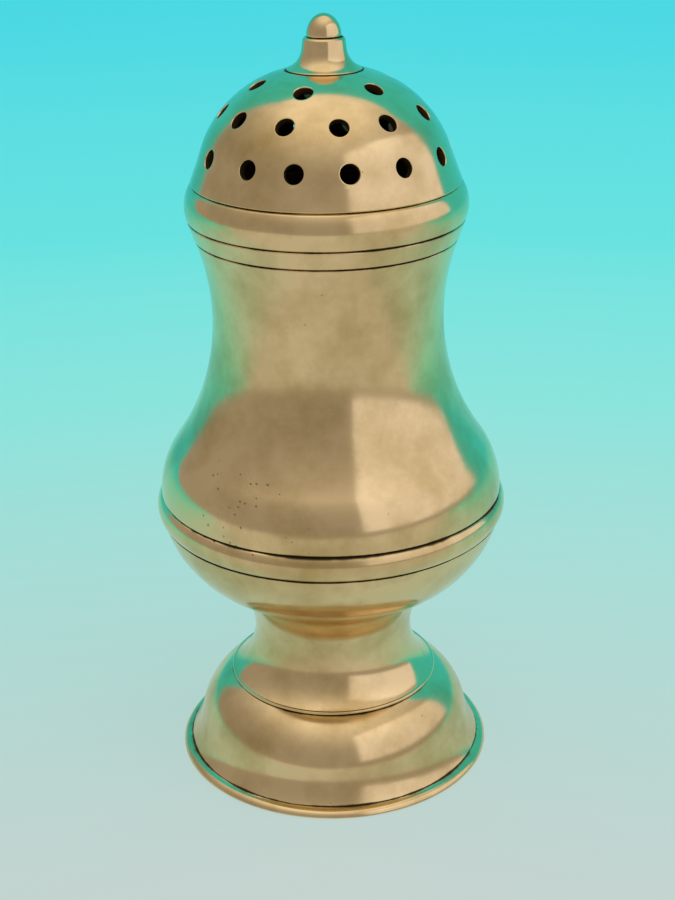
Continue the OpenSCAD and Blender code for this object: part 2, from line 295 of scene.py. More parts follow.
def turn(bm, outline, finish):
    """Spins an outline through one sector, then doubles it until it goes all round."""
    points = [bm.verts.new((p.x, 0, p.y)) for p in outline]
    edges = [bm.edges.new(pair) for pair in zip(points, points[1:])]
    start = len(bm.faces)
    angle = 2 * math.pi / SECTORS
    bmesh.ops.spin(bm, geom=points + edges, cent=(0, 0, 0), axis=(0, 0, 1), angle=angle, steps=FACETS)
    bm.faces.ensure_lookup_table()
    for face in bm.faces[start:]:
        face.material_index = finish
    for doubling in range(SECTORS.bit_length() - 1):
        copy = bmesh.ops.duplicate(bm, geom=bm.faces[start:])["geom"]
        verts = [part for part in copy if isinstance(part, bmesh.types.BMVert)]
        bmesh.ops.rotate(bm, cent=(0, 0, 0), matrix=Matrix.Rotation(angle * 2**doubling, 3, "Z"), verts=verts)
        bm.faces.ensure_lookup_table()
    return bm.faces[start:]


def finish_piece(bm, node, body, finishes):
    """Closes a turned piece, hangs it on its body and hides its CAD node."""
    bmesh.ops.remove_doubles(bm, verts=bm.verts, dist=WELD)
    bmesh.ops.dissolve_degenerate(bm, edges=bm.edges, dist=1e-7)
    bmesh.ops.recalc_face_normals(bm, faces=bm.faces)
    for face in bm.faces:
        face.smooth = True
    mesh = bpy.data.meshes.new(f"{node}_turned")
    bm.to_mesh(mesh)
    bm.free()
    mesh.set_sharp_from_angle(angle=math.radians(40))
    for finish in finishes:
        mesh.materials.append(finish)
    piece = bpy.data.objects.new(f"{node}_turned", mesh)
    bpy.context.scene.collection.objects.link(piece)
    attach(piece, body)
    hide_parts(node)


def turned_piece(node, body, shown, hidden, slot="polished_brass"):
    """A turned piece from its polished outline and the outline of its unpolished inside."""
    bm = bmesh.new()
    turn(bm, soften(shown), 0)
    turn(bm, soften([shown[-1], *hidden, shown[0]]), 1)
    outer = polished_brass() if slot == "polished_brass" else rubbed_brass()
    finish_piece(bm, node, body, [outer, tarnished_brass()])


# Finishes


def add_node(tree, kind, links=None, **settings):
    """Adds a shader node, sets its properties and input values and links its inputs."""
    node = tree.nodes.new(kind)
    inputs = settings.pop("inputs", {})
    for name, value in settings.items():
        setattr(node, name, value)
    for name, value in inputs.items():
        node.inputs[name].default_value = value
    for name, source in (links or {}).items():
        tree.links.new(source, node.inputs[name])
    return node


def new_finish(name):
    """A material with an empty Principled surface: its tree, shader and Object coordinates."""
    finish = bpy.data.materials.new(name)
    finish.use_nodes = True
    tree = finish.node_tree
    shader = tree.nodes["Principled BSDF"]
    place = add_node(tree, "ShaderNodeTexCoord").outputs["Object"]
    return finish, tree, shader, place


def joint_distance(tree, place):
    """Distance to the nearest joint's line, counted less where dirt fills more of the line; at the girdle's
    top the wider fill is painted shade.
    """
    scene = bpy.context.scene
    foot, stem, body = scene.caster_foot, scene.caster_stem, scene.caster_body
    cover, finial = scene.caster_cover, scene.caster_finial
    foot_edge = foot.rim_radius - foot.rim_width
    lip = stem.lip_radius - stem.lip_height / 2
    belly, neck, mouth = body.belly_radius, neck_top(body).x, reach("mouth_ring")
    knob = Z_TOP - finial.knob_height - finial.quirk / 2
    quirk = finial.knob_radius - finial.quirk
    # Level and radius of three joints at a time, and how much of each line the dirt fills; the 1.2 at the
    # girdle's top widens its line into painted shade of the gap under the belly
    lines = (
        ((Z_RIM, Z_STEM, Z_GIRDLE), (foot_edge, lip, belly), (1.0, 0.9, 0.8)),
        # The girdle's top line is filled wider as painted shade, the others are dirt
        ((Z_BODY, Z_MOUTH, Z_SEAT), (belly, neck, mouth), (1.2, 0.8, 0.9)),
        ((Z_DOME, Z_CROWN, knob), (cover.dome_radius, finial.flange_radius, quirk), (0.4, 0.3, 0.7)),
    )
    # Dirt reaches this far into a joint, so that the mouth's seat is clean under the cover
    into = 0.4 * MM
    parts = add_node(tree, "ShaderNodeSeparateXYZ", {"Vector": place})
    height = add_node(tree, "ShaderNodeCombineXYZ", {axis: parts.outputs["Z"] for axis in "XYZ"})
    flat = add_node(tree, "ShaderNodeVectorMath", {0: place}, operation="MULTIPLY",
                    inputs={1: (1, 1, 0)})
    radius = add_node(tree, "ShaderNodeVectorMath", {0: flat.outputs[0]}, operation="LENGTH")
    radius = add_node(tree, "ShaderNodeCombineXYZ",
                      {axis: radius.outputs["Value"] for axis in "XYZ"})
    nearest = None
    for levels, radii, fill in lines:
        gap = add_node(tree, "ShaderNodeVectorMath", {0: height.outputs[0]}, operation="SUBTRACT",
                       inputs={1: levels})
        gap = add_node(tree, "ShaderNodeVectorMath", {0: gap.outputs[0]}, operation="ABSOLUTE")
        inward = add_node(tree, "ShaderNodeVectorMath", {1: radius.outputs[0]}, operation="SUBTRACT",
                          inputs={0: [r - into for r in radii]})
        gap = add_node(tree, "ShaderNodeVectorMath", {0: gap.outputs[0], 1: inward.outputs[0]},
                       operation="MAXIMUM")
        gap = add_node(tree, "ShaderNodeVectorMath", {0: gap.outputs[0]}, operation="DIVIDE",
                       inputs={1: fill})
        if nearest:
            gap = add_node(tree, "ShaderNodeVectorMath", {0: gap.outputs[0], 1: nearest.outputs[0]},
                           operation="MINIMUM")
        nearest = gap
    gaps = add_node(tree, "ShaderNodeSeparateXYZ", {"Vector": nearest.outputs[0]}).outputs
    gap = add_node(tree, "ShaderNodeMath", {0: gaps["X"], 1: gaps["Y"]}, operation="MINIMUM")
    return add_node(tree, "ShaderNodeMath", {0: gap.outputs[0], 1: gaps["Z"]}, operation="MINIMUM").outputs[0]


def casting_pits(tree, place):
    """Pits up to 0.6 mm wide, here and there, and close together on the porous side of the belly."""
    cells = add_node(tree, "ShaderNodeTexVoronoi", {"Vector": place}, inputs={"Scale": 1 / (0.9 * MM)})
    porous = add_node(tree, "ShaderNodeVectorMath", {0: place}, operation="DISTANCE",
                      inputs={1: (-15 * MM, -22 * MM, 58 * MM)})
    sound = add_node(tree, "ShaderNodeMapRange", {"Value": porous.outputs["Value"]},
                     inputs={"From Min": 2 * MM, "From Max": 10 * MM, "To Min": 0.55, "To Max": 0.93})
    chance = add_node(tree, "ShaderNodeSeparateColor", {"Color": cells.outputs["Color"]})
    over = add_node(tree, "ShaderNodeMath", {0: chance.outputs[0], 1: sound.outputs["Result"]},
                    operation="SUBTRACT")
    width = add_node(tree, "ShaderNodeMapRange", {"Value": over.outputs[0]},
                     inputs={"From Min": 0.0, "From Max": 0.1, "To Min": 0.0, "To Max": 0.34})
    within = add_node(tree, "ShaderNodeMath",
                      {0: width.outputs["Result"], 1: cells.outputs["Distance"]}, operation="SUBTRACT")
    pit = add_node(tree, "ShaderNodeMapRange", {"Value": within.outputs[0]},
                   interpolation_type="SMOOTHSTEP", inputs={"From Min": 0.0, "From Max": 0.16})
    return pit.outputs["Result"]


def polished_brass():
    """Polished cast brass, rubbed for many years: soft mirror, olive blotches, dirt in the lines with painted
    shade at the girdle's top.
    """
    name = "Polished cast brass, hand rubbed"
    if name in bpy.data.materials:
        return bpy.data.materials[name]
    colours = bpy.context.scene.caster_finish
    finish, tree, shader, place = new_finish(name)
    # Slow blotches of tarnish, about 12 mm across
    blotch = add_node(tree, "ShaderNodeTexNoise", {"Vector": place},
                      inputs={"Scale": 1 / (12 * MM), "Detail": 5.0, "Roughness": 0.6})
    tarnish = add_node(tree, "ShaderNodeMapRange", {"Value": blotch.outputs["Fac"]},
                       inputs={"From Min": 0.42, "From Max": 0.72, "To Min": 0.0, "To Max": 0.75})
    base = add_node(tree, "ShaderNodeMix", {"Factor": tarnish.outputs["Result"]}, data_type="RGBA",
                    inputs={"A": (*colours.brass, 1), "B": (*colours.tarnish, 1)})
    # Dirt in the turned lines, 0.05 to 0.32 mm wide, as the polish has reached into them, widened at the
    # girdle's top into painted shade
    wide = add_node(tree, "ShaderNodeMapRange", {"Value": blotch.outputs["Fac"]},
                    inputs={"From Min": 0.35, "From Max": 0.65, "To Min": 0.05 * MM, "To Max": 0.32 * MM})
    line = add_node(tree, "ShaderNodeMath", {0: joint_distance(tree, place), 1: wide.outputs["Result"]},
                    operation="DIVIDE")
    # Dark joint lines: dirt, and painted shade at the girdle's top
    dirt_and_shade = add_node(tree, "ShaderNodeMapRange", {"Value": line.outputs[0]},
                    interpolation_type="SMOOTHSTEP",
                    inputs={"From Min": 0.4, "From Max": 1.3, "To Min": 0.95, "To Max": 0.0})
    pit = casting_pits(tree, place)
    # Pits and joint dirt darken the colour, and at the girdle's top joint painted shade does
    stain = add_node(tree, "ShaderNodeMath", {0: pit, 2: dirt_and_shade.outputs["Result"]},
                     operation="MULTIPLY_ADD", use_clamp=True, inputs={1: 0.5})
    surface = add_node(tree, "ShaderNodeMix", {"Factor": stain.outputs[0], "A": base.outputs["Result"]},
                       data_type="RGBA", inputs={"B": (*colours.grime_and_shade, 1)})
    tree.links.new(surface.outputs["Result"], shader.inputs["Base Color"])
    shader.inputs["Metallic"].default_value = 1.0
    # Rubbing leaves a soft mirror, duller where it has tarnished
    smear = add_node(tree, "ShaderNodeMapRange", {"Value": tarnish.outputs["Result"]},
                     inputs={"To Min": 0.13, "To Max": 0.27})
    rough = add_node(tree, "ShaderNodeMath", {0: dirt_and_shade.outputs["Result"], 2: smear.outputs["Result"]},
                     operation="MULTIPLY_ADD", inputs={1: 0.5})
    tree.links.new(rough.outputs[0], shader.inputs["Roughness"])
    # Turning marks: fine rings about 0.25 mm apart, drawn coarse enough to show
    rings = add_node(tree, "ShaderNodeMapping", {"Vector": place},
                     inputs={"Scale": (1 / (18 * MM), 1 / (18 * MM), 1 / (0.25 * MM))})
    marks = add_node(tree, "ShaderNodeTexNoise", {"Vector": rings.outputs[0]},
                     inputs={"Scale": 1.0, "Detail": 2.0})
    # Hand rubbing leaves the face slightly wavy, about 9 mm from crest to crest
    wave = add_node(tree, "ShaderNodeTexNoise", {"Vector": place},
                    inputs={"Scale": 1 / (9 * MM), "Detail": 1.0})
    bump = add_node(tree, "ShaderNodeBump", {"Height": wave.outputs["Fac"]},
                    inputs={"Strength": 0.5, "Distance": 0.12 * MM})
    bump = add_node(tree, "ShaderNodeBump", {"Height": marks.outputs["Fac"], "Normal": bump.outputs[0]},
                    inputs={"Strength": 0.25, "Distance": 0.006 * MM})
    bump = add_node(tree, "ShaderNodeBump", {"Height": pit, "Normal": bump.outputs[0]},
                    invert=True, inputs={"Strength": 0.6, "Distance": 0.05 * MM})
    tree.links.new(bump.outputs[0], shader.inputs["Normal"])
    return finish


def tarnished_brass():
    """Brass as cast and left: dull brown inside the caster, so that the holes look dark."""
    name = "Tarnished brass, as cast"
    if name in bpy.data.materials:
        return bpy.data.materials[name]
    colours = bpy.context.scene.caster_finish
    finish, tree, shader, place = new_finish(name)
    # Sand grain of the casting, about 0.6 mm, and stains of about 7 mm
    grain = add_node(tree, "ShaderNodeTexNoise", {"Vector": place},
                     inputs={"Scale": 1 / (0.6 * MM), "Detail": 3.0})
    stain = add_node(tree, "ShaderNodeTexNoise", {"Vector": place},
                     inputs={"Scale": 1 / (7 * MM), "Detail": 4.0})
    base = add_node(tree, "ShaderNodeMix", {"Factor": stain.outputs["Fac"]}, data_type="RGBA",
                    inputs={"A": (*colours.inside, 1), "B": (*colours.grime_and_shade, 1)})
    tree.links.new(base.outputs["Result"], shader.inputs["Base Color"])
    shader.inputs["Metallic"].default_value = 0.8
    rough = add_node(tree, "ShaderNodeMapRange", {"Value": grain.outputs["Fac"]},
                     inputs={"To Min": 0.45, "To Max": 0.7})
    tree.links.new(rough.outputs["Result"], shader.inputs["Roughness"])
    bump = add_node(tree, "ShaderNodeBump", {"Height": grain.outputs["Fac"]},
                    inputs={"Strength": 0.5, "Distance": 0.05 * MM})
    tree.links.new(bump.outputs[0], shader.inputs["Normal"])
    return finish


def rubbed_brass():
    """Satin brass rubbed lengthwise by sliding in the mouth."""
    name = "Satin brass, rubbed by sliding"
    if name in bpy.data.materials:
        return bpy.data.materials[name]
    colours = bpy.context.scene.caster_finish
    finish, tree, shader, place = new_finish(name)
    # Upright scratches about 0.3 mm apart, drawn coarse enough to show
    streaks = add_node(tree, "ShaderNodeMapping", {"Vector": place},
                       inputs={"Scale": (1 / (0.3 * MM), 1 / (0.3 * MM), 1 / (6 * MM))})
    scratch = add_node(tree, "ShaderNodeTexNoise", {"Vector": streaks.outputs[0]},
                       inputs={"Scale": 1.0, "Detail": 2.0})
    base = add_node(tree, "ShaderNodeMix", {"Factor": scratch.outputs["Fac"]}, data_type="RGBA",
                    inputs={"A": (*colours.brass, 1), "B": (*colours.tarnish, 1)})
    tree.links.new(base.outputs["Result"], shader.inputs["Base Color"])
    shader.inputs["Metallic"].default_value = 1.0
    rough = add_node(tree, "ShaderNodeMapRange", {"Value": scratch.outputs["Fac"]},
                     inputs={"To Min": 0.25, "To Max": 0.45})
    tree.links.new(rough.outputs["Result"], shader.inputs["Roughness"])
    bump = add_node(tree, "ShaderNodeBump", {"Height": scratch.outputs["Fac"]},
                    inputs={"Strength": 0.3, "Distance": 0.01 * MM})
    tree.links.new(bump.outputs[0], shader.inputs["Normal"])
    return finish


# Outlines of the pieces that share a joint


def stem_bore(stem):
    """Radius of the stem's straight bore."""
    return stem.waist_radius - stem.wall


def neck_curve(body):
    """Centres of the shoulder's and the neck's circles, the neck's radius and the turn between them."""
    belly = point(body.belly_radius - body.shoulder, Z_BODY)
    rise = (Z_MOUTH - Z_BODY) * body.neck_share
    drop = body.belly_radius - body.neck_radius
    radius = (drop**2 + rise**2) / (2 * drop) - body.shoulder
    neck = point(body.neck_radius + radius, Z_BODY + rise)
    turn_at = belly.lerp(neck, body.shoulder / (body.shoulder + radius))
    return belly, neck, radius, turn_at


def neck_top(body):
    """Top of the neck, under the mouth ring."""
    _, neck, radius, _ = neck_curve(body)
    return point(neck.x - math.sqrt(radius**2 - (Z_MOUTH - neck.y) ** 2), Z_MOUTH)


def mouth_bore(body):
    """Bore of the mouth, in which the bezel slides."""
    return reach("mouth_ring") - body.mouth_land


class CasterBuildFoot(bpy.types.Operator):
    """Turns the domed foot and the rim round its edge"""

    bl_idname = "caster.build_foot"
    bl_label = "Foot and rim"

    def execute(self, context):
        foot, stem = context.scene.caster_foot, context.scene.caster_stem
        groove = context.scene.caster_body.groove
        edge = foot.rim_radius - foot.rim_width
        lap = edge - foot.lap
        outer = point(foot.rim_radius, foot.rim_edge)
        inner = point(edge + groove, Z_RIM - groove)
        rim = [point(lap + JOINT, 0), point(foot.rim_radius - foot.rim_edge, 0)]
        rim += arc(arc_centre(outer, foot.rim_lean, inner), outer, inner, count=12)
        rim += [point(edge - groove, Z_RIM), point(lap + JOINT, Z_RIM)]
        turned_piece("foot_rim", "caster_body", rim, [])

        low = point(edge, Z_RIM)
        mid = point(edge - foot.draw_in, foot.turn_height)
        high = point(foot.top_radius, Z_STEM)
        low_c = arc_centre(mid, foot.turn_lean, low)
        high_c = arc_centre(mid, foot.turn_lean, high)
        bore = stem_bore(stem) + stem.spigot_wall + JOINT
        under = arc(high_c, high, mid, -foot.wall) + arc(low_c, mid, low, foot.wall)[1:]
        shown = [point(lap, foot.lap_low), point(lap, Z_RIM)]
        shown += arc(low_c, low, mid) + arc(high_c, mid, high)[1:]
        hidden = [point(bore, Z_STEM), point(bore, under[0].y), *under, point(under[-1].x, foot.lap_low)]
        turned_piece("foot", "caster_body", shown, hidden)
        return {"FINISHED"}


class CasterBuildStem(bpy.types.Operator):
    """Turns the spool-shaped stem with its thin lip and the flare under the bowl"""

    bl_idname = "caster.build_stem"
    bl_label = "Stem"

    def execute(self, context):
        stem = context.scene.caster_stem
        round_r = stem.lip_height / 2
        lip = point(stem.lip_radius - round_r, Z_STEM + round_r)
        low = lip + point(-stem.lip_step, round_r)
        waist = point(stem.waist_radius, Z_STEM + stem.waist_height)
        high = point(stem.waist_radius + stem.waist_flare, Z_BOWL)
        bore = stem_bore(stem)
        spigot = bore + stem.spigot_wall
        side, up = point(round_r, 0), point(0, round_r)
        shown = [point(spigot, Z_STEM), *arc(lip, lip - up, lip + side, count=10)]
        shown += arc(lip, lip + side, lip + up, count=10)[1:]
        shown += arc(arc_centre(waist, 0, low), low, waist) + arc(arc_centre(waist, 0, high), waist, high)[1:]
        hidden = [point(bore, Z_BOWL), point(bore, Z_STEM - stem.spigot_height)]
        hidden += [point(spigot, Z_STEM - stem.spigot_height)]
        turned_piece("stem", "caster_body", shown, hidden)
        return {"FINISHED"}


class CasterBuildBody(bpy.types.Operator):
    """Turns the bowl, the girdle, the upper body and the mouth ring"""

    bl_idname = "caster.build_body"
    bl_label = "Body"

    def execute(self, context):
        body, stem = context.scene.caster_body, context.scene.caster_stem
        self.lower_bowl(body, stem)
        self.girdle(body)
        self.upper_body(body)
        self.mouth_ring(body)
        return {"FINISHED"}

    def lower_bowl(self, body, stem):
        """Closed bowl with a collar in the stem and a rebated rim."""
        foot = point(stem.waist_radius + stem.waist_flare + body.bowl_land, Z_BOWL)
        edge = point(body.belly_radius, Z_GIRDLE)
        centre = arc_centre(edge, body.bowl_lean, foot)
        inner_r = (edge - centre).length - body.wall
        floor = Z_BOWL + body.floor
        seat = body.belly_radius - body.girdle_seat
        lap = seat - body.lap_wall
        inner_low = point(on_circle(centre, inner_r, floor), floor)
        inner_high = point(lap, centre.y - math.sqrt(inner_r**2 - (lap - centre.x) ** 2))
        collar = stem_bore(stem) - JOINT
        deep = Z_BOWL - stem.spigot_height
        shown = [point(collar, Z_BOWL), *arc(centre, foot, edge, count=40), point(seat, Z_GIRDLE)]
        inside = [shown[-1], point(seat, Z_BODY), point(lap, Z_BODY), *arc(centre, inner_high, inner_low)]
        bore = collar - body.collar_wall
        under = [point(0, Z_BOWL), point(bore, Z_BOWL), point(bore, deep)]
        bm = bmesh.new()
        turn(bm, soften(shown), 0)
        turn(bm, soften([*inside, point(0, floor)]), 1)
        turn(bm, soften([*under, point(collar, deep), shown[0]]), 1)
        finish_piece(bm, "lower_bowl", "caster_body", [polished_brass(), tarnished_brass()])

    def girdle(self, body):
        """Rounded band over the joint of bowl and upper body."""
        bore = body.belly_radius - body.girdle_seat + JOINT
        low = point(body.belly_radius + body.groove / 2, Z_GIRDLE + body.groove)
        high = point(body.belly_radius + body.groove / 2, Z_BODY - body.groove)
        mid = point(body.girdle_radius, (low.y + high.y) / 2)
        bulge = arc_centre(mid, 0, high)
        shown = [point(bore, Z_GIRDLE), point(body.belly_radius - body.groove, Z_GIRDLE)]
        shown += arc(bulge, low, mid, count=10) + arc(bulge, mid, high, count=10)[1:]
        shown += [point(body.belly_radius - body.groove, Z_BODY), point(bore, Z_BODY)]
        turned_piece("girdle", "caster_body", shown, [])

    def upper_body(self, body):
        """Shoulder and hollow neck, lapped into the bowl's rim."""
        belly, neck, radius, turn_at = neck_curve(body)
        crest = neck_top(body)
        start = point(body.belly_radius, Z_BODY + body.groove)
        lap = body.belly_radius - body.girdle_seat - body.lap_wall - JOINT
        ledge = Z_MOUTH - body.mouth_spigot
        socket = mouth_bore(body) + body.mouth_wall + JOINT
        inner_z = Z_BODY + body.lap_height
        inner = point(on_circle(belly, body.shoulder - body.wall, inner_z), inner_z)
        inner_turn = belly.lerp(turn_at, (body.shoulder - body.wall) / body.shoulder)
        ledge_in = point(neck.x - math.sqrt((radius + body.wall) ** 2 - (ledge - neck.y) ** 2), ledge)
        shown = [point(lap, Z_BODY), point(body.belly_radius - body.groove, Z_BODY)]
        shown += arc(belly, start, turn_at, count=36)
        shown += arc(neck, turn_at, crest - point(0, body.groove), count=48)[1:]
        shown += [point(crest.x - body.groove, Z_MOUTH), point(socket, Z_MOUTH)]
        hidden = [point(socket, ledge), *arc(neck, ledge_in, inner_turn), *arc(belly, inner_turn, inner)[1:]]
        hidden += [point(lap - body.lap_wall, Z_BODY + body.lap_height / 2)]
        hidden += [point(lap - body.lap_wall, Z_BODY - body.lap_height), point(lap, Z_BODY - body.lap_height)]
        turned_piece("upper_body", "caster_body", shown, hidden)

    def mouth_ring(self, body):
        """Lip of the mouth with the bore for the bezel."""
        bore = mouth_bore(body)
        crest, lip, groove = neck_top(body).x, reach("mouth_ring"), body.groove
        spigot = bore + body.mouth_wall
        deep = Z_MOUTH - body.mouth_spigot
        shown = [point(spigot, Z_MOUTH), point(crest - groove, Z_MOUTH)]
        shown += [point(crest + groove / 2, Z_MOUTH + groove)]
        shown += [point(lip, Z_SEAT - groove), point(lip - groove, Z_SEAT), point(bore + groove, Z_SEAT)]
        shown += [point(bore, Z_SEAT - groove), point(bore, deep)]
        turned_piece("mouth_ring", "caster_body", shown, [point(spigot, deep)])


class CasterBuildCover(bpy.types.Operator):
    """Turns the cover's rim and bezel and turns and drills its dome"""

    bl_idname = "caster.build_cover"
    bl_label = "Cover"

    def execute(self, context):
        cover, body = context.scene.caster_cover, context.scene.caster_body
        bezel = mouth_bore(body) - cover.play
        lap = cover.dome_radius - cover.dome_seat
        self.cover_rim(cover, body, bezel, lap)
        self.cover_bezel(cover, bezel, lap)
        self.cover_dome(cover, body.groove, lap, context.scene.caster_finial)
        return {"FINISHED"}

    def cover_rim(self, cover, body, bezel, lap):
        """Round-faced rim with a floor that rests on the mouth."""
        groove = body.groove
        low = point(reach("mouth_ring") + cover.seat_proud, Z_SEAT + groove)
        high = point(cover.dome_radius + groove / 2, Z_DOME - groove)
        chord = high - low
        lean = math.asin(chord.length / 2 / cover.rim_round) - math.atan2(chord.x, chord.y)
        floor = Z_SEAT + cover.rim_floor
        shown = [point(bezel + JOINT, Z_SEAT), point(low.x - groove, Z_SEAT)]
        shown += arc(arc_centre(high, lean, low), low, high, count=20)
        shown += [point(cover.dome_radius - groove, Z_DOME), point(lap + JOINT, Z_DOME)]
        turned_piece("cover_rim", "cover", shown, [point(lap + JOINT, floor), point(bezel + JOINT, floor)])

    def cover_bezel(self, cover, bezel, lap):
        """Sleeve that slides in the mouth, hung from the rim by its lip."""
        inner = bezel - cover.bezel_wall
        lead = cover.bezel_wall / 3
        deep = Z_SEAT - cover.bezel_depth
        floor = Z_SEAT + cover.rim_floor
        shown = [point(inner, deep), point(bezel - lead, deep), point(bezel, deep + 2 * lead)]
        shown += [point(bezel, floor), point(lap, floor), point(lap, floor + cover.bezel_lip)]
        turned_piece("cover_bezel", "cover", shown, [point(inner, floor + cover.bezel_lip)], "rubbed_brass")

    def cover_dome(self, cover, groove, lap, finial):
        """Pierced dome: a hollow flank that turns into the round crown."""
        edge = point(cover.dome_radius, Z_DOME + groove)
        turn_at = point(cover.dome_radius - cover.flank_draw_in, Z_DOME + cover.flank_height)
        crown = point(finial.flange_radius + JOINT, Z_CROWN)
        flank = arc_centre(turn_at, cover.lean, edge)
        centre = arc_centre(turn_at, cover.lean, crown)
        radius = (turn_at - centre).length
        under_z = Z_CROWN - cover.dome_wall
        under = point(on_circle(centre, radius - cover.dome_wall, under_z), under_z)
        inner_turn = turn_at - cover.dome_wall * point(math.cos(cover.lean), math.sin(cover.lean))
        bore = lap - cover.lap_wall
        bore_top = point(bore, inner_turn.y - (bore - inner_turn.x) / math.tan(cover.lean))
        deep = Z_SEAT + cover.rim_floor + cover.bezel_lip
        tenon = finial.tenon_radius + JOINT
        shown = [point(lap, Z_DOME), point(cover.dome_radius - groove, Z_DOME)]
        shown += arc(flank, edge, turn_at, count=12) + arc(centre, turn_at, crown, count=48)[1:]
        shown += [point(tenon, Z_CROWN)]
        hidden = [shown[-1], point(tenon, under_z), *arc(centre, under, inner_turn, count=48)]
        hidden += [inner_turn.lerp(bore_top, t) for t in (0.25, 0.5, 0.75, 1)]
        hidden += [point(bore, deep), point(lap, deep), shown[0]]
        bm = bmesh.new()
        outside = turn(bm, soften(shown), 0)
        inside = turn(bm, soften(hidden), 1)
        bmesh.ops.remove_doubles(bm, verts=bm.verts, dist=WELD)
        sides = [dome_places([f for f in faces if f.is_valid], centre) for faces in (outside, inside)]
        for row, count in enumerate(cover.row_counts):
            for hole in range(count):
                drift = WANDER[row][hole] if hole < len(WANDER[row]) else 0
                azimuth = cover.row_turns[row] + math.radians(drift - 90 + hole * 360 / count)
                drill(bm, sides, centre, radius, cover, azimuth, cover.row_ups[row])
        finish_piece(bm, "cover_dome", "cover", [polished_brass(), tarnished_brass()])


def dome_places(faces, centre):
    """Faces of the dome, each with its turn about the axis and its angle up the dome's round."""
    places = []
    for face in faces:
        middle = face.calc_center_median()
        rise = math.atan2(middle.z - centre.y, middle.xy.length - centre.x)
        places.append((math.atan2(middle.y, middle.x), rise, face))
    return places


def drill(bm, sides, centre, radius, cover, azimuth, up):
    """Drills one hole through both faces of the dome and rounds its edges."""
    hole, worn, wall = cover.hole_radius, cover.hole_round, cover.dome_wall
    land, hold = 0.35 * MM, 0.1 * MM  # face opened round a hole's edge, and the ring that holds it
    high = (hole + worn + land) / radius
    wide = high * radius / (centre.x + radius * math.cos(up))
    rims = []
    for places in sides:
        row = [place for place in places if abs(place[1] - up) < high]
        patch = [face for turned, _, face in row if abs(math.remainder(turned - azimuth, 2 * math.pi)) < wide]
        chosen = set(patch)
        rims.append([e for f in patch for e in f.edges if sum(g in chosen for g in e.link_faces) == 1])
        bmesh.ops.delete(bm, geom=patch, context="FACES")
    # The hole's wall as a tube on a flat plate: holding ring, worn edge, wall, edge inside
    circle = bmesh.ops.create_circle(bm, cap_ends=False, radius=hole + worn + hold, segments=len(rims[0]))
    ring = circle["verts"]
    mouth = edges = list({e for v in ring for e in v.link_edges})
    tube = list(ring)
    steps = ((hole + worn, 0, 0), (hole + 0.4 * worn, 0.12 * worn, 0), (hole + 0.1 * worn, 0.5 * worn, 0))
    steps += ((hole, worn, 0), (hole, wall - worn, 1), (hole + worn, wall, 1))
    for size, depth, finish in steps:
        grown = bmesh.ops.extrude_edge_only(bm, edges=edges)["geom"]
        ring = {part for part in grown if isinstance(part, bmesh.types.BMVert)}
        edges = list({e for v in ring for e in v.link_edges if e.other_vert(v) in ring})
        for vert in ring:
            vert.co = (*(vert.co.xy.normalized() * size), -depth)
        for face in {f for e in edges for f in e.link_faces}:
            face.material_index = finish
        tube.extend(ring)
    # The plate laid on the dome's round
    for vert in tube:
        on = radius + vert.co.z
        tilt = up + vert.co.y / on
        out = centre.x + on * math.cos(tilt)
        around = azimuth + vert.co.x / out
        vert.co = (out * math.cos(around), out * math.sin(around), centre.y + on * math.sin(tilt))
    bmesh.ops.bridge_loops(bm, edges=rims[0] + mouth)
    for face in bmesh.ops.bridge_loops(bm, edges=edges + rims[1])["faces"]:
        face.material_index = 1


class CasterBuildFinial(bpy.types.Operator):
    """Turns the finial: flange, flared collar and bullet-shaped knob"""

    bl_idname = "caster.build_finial"
    bl_label = "Finial"

    def execute(self, context):
        finial, cover = context.scene.caster_finial, context.scene.caster_cover
        edge, worn = finial.flange_edge, finial.collar_edge
        knob_z = Z_TOP - finial.knob_height
        stalk = finial.knob_radius + finial.collar
        lean = math.atan2(finial.collar_taper, finial.collar_height)
        stalk_top = knob_z - finial.quirk
        flange_top = Z_CROWN + finial.flange_height
        flare_low = point(finial.flange_radius - edge, flange_top)
        flare_high = point(stalk + finial.collar_taper, stalk_top - finial.collar_height)
        head_z = Z_CROWN - cover.dome_wall
        head = finial.tenon_radius + finial.head
        neck = finial.knob_radius - finial.quirk
        quarter = [math.pi / 2 * i / 16 for i in range(17)]
        shown = [point(finial.tenon_radius, Z_CROWN), point(finial.flange_radius - edge, Z_CROWN)]
        shown += [point(finial.flange_radius, Z_CROWN + edge), point(finial.flange_radius, flange_top - edge)]
        shown += arc(arc_centre(flare_high, lean, flare_low), flare_low, flare_high, count=20)
        shown += [point(stalk, stalk_top - worn), point(stalk - worn, stalk_top), point(neck, stalk_top)]
        shown += [point(neck, knob_z)]
        for t in quarter:
            rise = finial.knob_height * math.sin(t)
            shown.append(point(finial.knob_radius * math.cos(t), knob_z + rise))
        rivet = [point(head * math.sin(t), head_z - finial.head_height * math.cos(t)) for t in quarter]
        bm = bmesh.new()
        turn(bm, soften(shown), 0)
        turn(bm, soften([*rivet, point(finial.tenon_radius, head_z), shown[0]]), 1)
        finish_piece(bm, "finial", "cover", [polished_brass(), tarnished_brass()])
        return {"FINISHED"}


